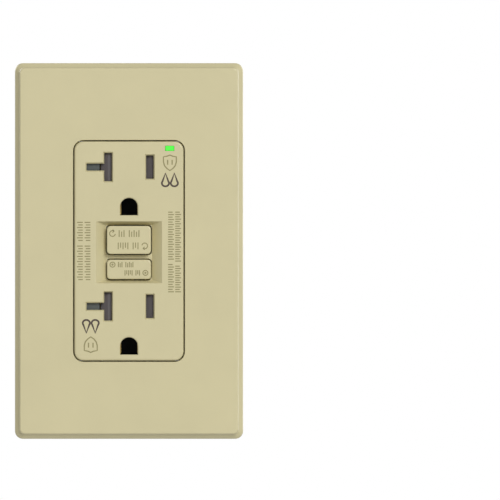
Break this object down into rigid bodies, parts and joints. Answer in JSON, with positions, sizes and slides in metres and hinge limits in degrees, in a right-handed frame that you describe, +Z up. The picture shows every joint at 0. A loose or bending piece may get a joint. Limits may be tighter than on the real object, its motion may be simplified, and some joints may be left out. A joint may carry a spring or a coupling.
{
  "type": "ground-fault outlet",
  "caption": "Ivory ground-fault duplex outlet with T-slot receptacles, test and reset buttons, an indicator lens and a screwless wall plate, over its shuttered, strapped device body.",
  "frame": {"origin": "middle of the outlet on the plane of the finished wall", "axes": "+Z up, -Y out into the room, +X to the right as seen from the room"},
  "size_m": [0.0694, 0.0325, 0.1142],
  "materials": {
    "ivory_plastic": "satin moulded ivory polycarbonate",
    "shutter_plastic": "smooth grey nylon",
    "lens_plastic": "clear green light pipe",
    "white_plastic": "natural nylon",
    "body_plastic": "fine-textured dark grey polycarbonate",
    "tray_plastic": "black nylon",
    "zinc_steel": "bright zinc-plated steel",
    "screw_steel": "zinc-plated turned steel",
    "spring_steel": "drawn spring wire",
    "brass": "rolled brass strip",
    "copper": "copper alloy and enamelled copper wire",
    "green_screw": "green-dyed zinc plating",
    "board_laminate": "glass-epoxy laminate with green resist",
    "ferrite": "epoxy-coated ferrite",
    "black_epoxy": "moulded black epoxy",
    "blue_epoxy": "dipped blue epoxy"
  },
  "bodies": {
    "root": {"sub_plate": "ivory_plastic", "face_housing": "ivory_plastic", "light_pipe": "lens_plastic", "shutter_bed": "white_plastic", "solenoid_bobbin": "white_plastic", "core_holder": "white_plastic", "indicator_led": "white_plastic", "rear_housing": "body_plastic", "contact_tray": "tray_plastic", "mounting_strap": "zinc_steel", "plate_screw_upper": "screw_steel", "plate_screw_lower": "screw_steel", "mounting_screw_upper": "screw_steel", "mounting_screw_lower": "screw_steel", "housing_screw_upper_left": "screw_steel", "housing_screw_upper_right": "screw_steel", "housing_screw_lower_left": "screw_steel", "housing_screw_lower_right": "screw_steel", "reset_spring": "spring_steel", "plunger_spring": "spring_steel", "main_shutter_spring_upper": "spring_steel", "main_shutter_spring_lower": "spring_steel", "leg_shutter_spring_upper": "spring_steel", "leg_shutter_spring_lower": "spring_steel", "hot_bus": "brass", "neutral_bus": "brass", "line_hot_terminal": "brass", "line_neutral_terminal": "brass", "test_contact": "brass", "ground_contact_upper": "brass", "ground_contact_lower": "brass", "solenoid_coil": "copper", "circuit_board": "board_laminate", "differential_core": "ferrite", "neutral_core": "ferrite", "thyristor": "black_epoxy", "control_chip": "black_epoxy", "varistor": "blue_epoxy"},
    "cover": {"cover_plate": "ivory_plastic"},
    "reset": {"reset_button": "ivory_plastic", "reset_pin": "screw_steel"},
    "test": {"test_button": "ivory_plastic"},
    "latch": {"latch_block": "white_plastic"},
    "latch_slider": {"latch_plate": "screw_steel"},
    "hot_arm": {"line_hot_arm": "copper"},
    "neutral_arm": {"line_neutral_arm": "copper"},
    "solenoid_plunger": {"plunger": "screw_steel"},
    "ground_terminal": {"ground_screw": "green_screw"},
    "main_shutter_upper": {"main_shutter_upper": "shutter_plastic"},
    "leg_shutter_upper": {"leg_shutter_upper": "shutter_plastic"},
    "main_shutter_lower": {"main_shutter_lower": "shutter_plastic"},
    "leg_shutter_lower": {"leg_shutter_lower": "shutter_plastic"},
    "line_hot_terminal_screw": {"line_hot_screw": "brass", "line_hot_clamp": "brass"},
    "line_neutral_terminal_screw": {"line_neutral_screw": "screw_steel", "line_neutral_clamp": "screw_steel"},
    "load_hot_terminal_screw": {"load_hot_screw": "brass", "load_hot_clamp": "brass"},
    "load_neutral_terminal_screw": {"load_neutral_screw": "screw_steel", "load_neutral_clamp": "screw_steel"}
  },
  "joints": [
    {"name": "cover_pull", "type": "slide", "parent": "root", "child": "cover", "axis": [0, -1, 0], "range_m": [0, 0.014]},
    {"name": "reset_travel", "type": "slide", "parent": "root", "child": "reset", "axis": [0, 1, 0], "range_m": [-0.0014, 0.0016], "stiffness_N_per_m": 350, "deforming": ["reset_spring"]},
    {"name": "test_travel", "type": "slide", "parent": "root", "child": "test", "axis": [0, 1, 0], "range_m": [0, 0.0012], "stiffness_N_per_m": 500, "springref_m": -0.0002, "deforming": ["test_contact"]},
    {"name": "latch_drop", "type": "slide", "parent": "root", "child": "latch", "axis": [0, 1, 0], "range_m": [0, 0.0022]},
    {"name": "hot_arm_flex", "type": "hinge", "parent": "root", "child": "hot_arm", "pos_m": [0.0093, 0.01265, 0.014], "axis": [1, 0, 0], "range_deg": [0, 9]},
    {"name": "neutral_arm_flex", "type": "hinge", "parent": "root", "child": "neutral_arm", "pos_m": [-0.0093, 0.01265, 0.014], "axis": [1, 0, 0], "range_deg": [0, 9]},
    {"name": "plunger_stroke", "type": "slide", "parent": "root", "child": "solenoid_plunger", "axis": [0, 0, 1], "range_m": [0, 0.002], "stiffness_N_per_m": 60, "springref_m": -0.001, "deforming": ["plunger_spring"]},
    {"name": "latch_plate_slide", "type": "slide", "parent": "latch", "child": "latch_slider", "axis": [0, 0, 1], "range_m": [0, 0.0018]},
    {"name": "ground_screw_travel", "type": "slide", "parent": "root", "child": "ground_terminal", "axis": [-1, 0, 0], "range_m": [0, 0.003]},
    {"name": "main_shutter_upper_slide", "type": "slide", "parent": "root", "child": "main_shutter_upper", "axis": [1, 0, 0], "range_m": [0, 0.0035], "stiffness_N_per_m": 80, "springref_m": -0.001, "deforming": ["main_shutter_spring_upper"]},
    {"name": "leg_shutter_upper_slide", "type": "slide", "parent": "root", "child": "leg_shutter_upper", "axis": [0, 0, -1], "range_m": [0, 0.0029], "stiffness_N_per_m": 60, "springref_m": -0.001, "deforming": ["leg_shutter_spring_upper"]},
    {"name": "main_shutter_lower_slide", "type": "slide", "parent": "root", "child": "main_shutter_lower", "axis": [1, 0, 0], "range_m": [0, 0.0035], "stiffness_N_per_m": 80, "springref_m": -0.001, "deforming": ["main_shutter_spring_lower"]},
    {"name": "leg_shutter_lower_slide", "type": "slide", "parent": "root", "child": "leg_shutter_lower", "axis": [0, 0, -1], "range_m": [0, 0.0029], "stiffness_N_per_m": 60, "springref_m": -0.001, "deforming": ["leg_shutter_spring_lower"]},
    {"name": "line_hot_screw_travel", "type": "slide", "parent": "root", "child": "line_hot_terminal_screw", "axis": [1, 0, 0], "range_m": [0, 0.0025]},
    {"name": "line_neutral_screw_travel", "type": "slide", "parent": "root", "child": "line_neutral_terminal_screw", "axis": [-1, 0, 0], "range_m": [0, 0.0025]},
    {"name": "load_hot_screw_travel", "type": "slide", "parent": "root", "child": "load_hot_terminal_screw", "axis": [1, 0, 0], "range_m": [0, 0.0025]},
    {"name": "load_neutral_screw_travel", "type": "slide", "parent": "root", "child": "load_neutral_terminal_screw", "axis": [-1, 0, 0], "range_m": [0, 0.0025]}
  ],
  "couplings": [
    {"joint": "hot_arm_flex", "follows": "latch_drop", "rad_per_m": 66},
    {"joint": "neutral_arm_flex", "follows": "latch_drop", "rad_per_m": 66},
    {"joint": "latch_plate_slide", "follows": "plunger_stroke", "ratio": 0.9}
  ]
}
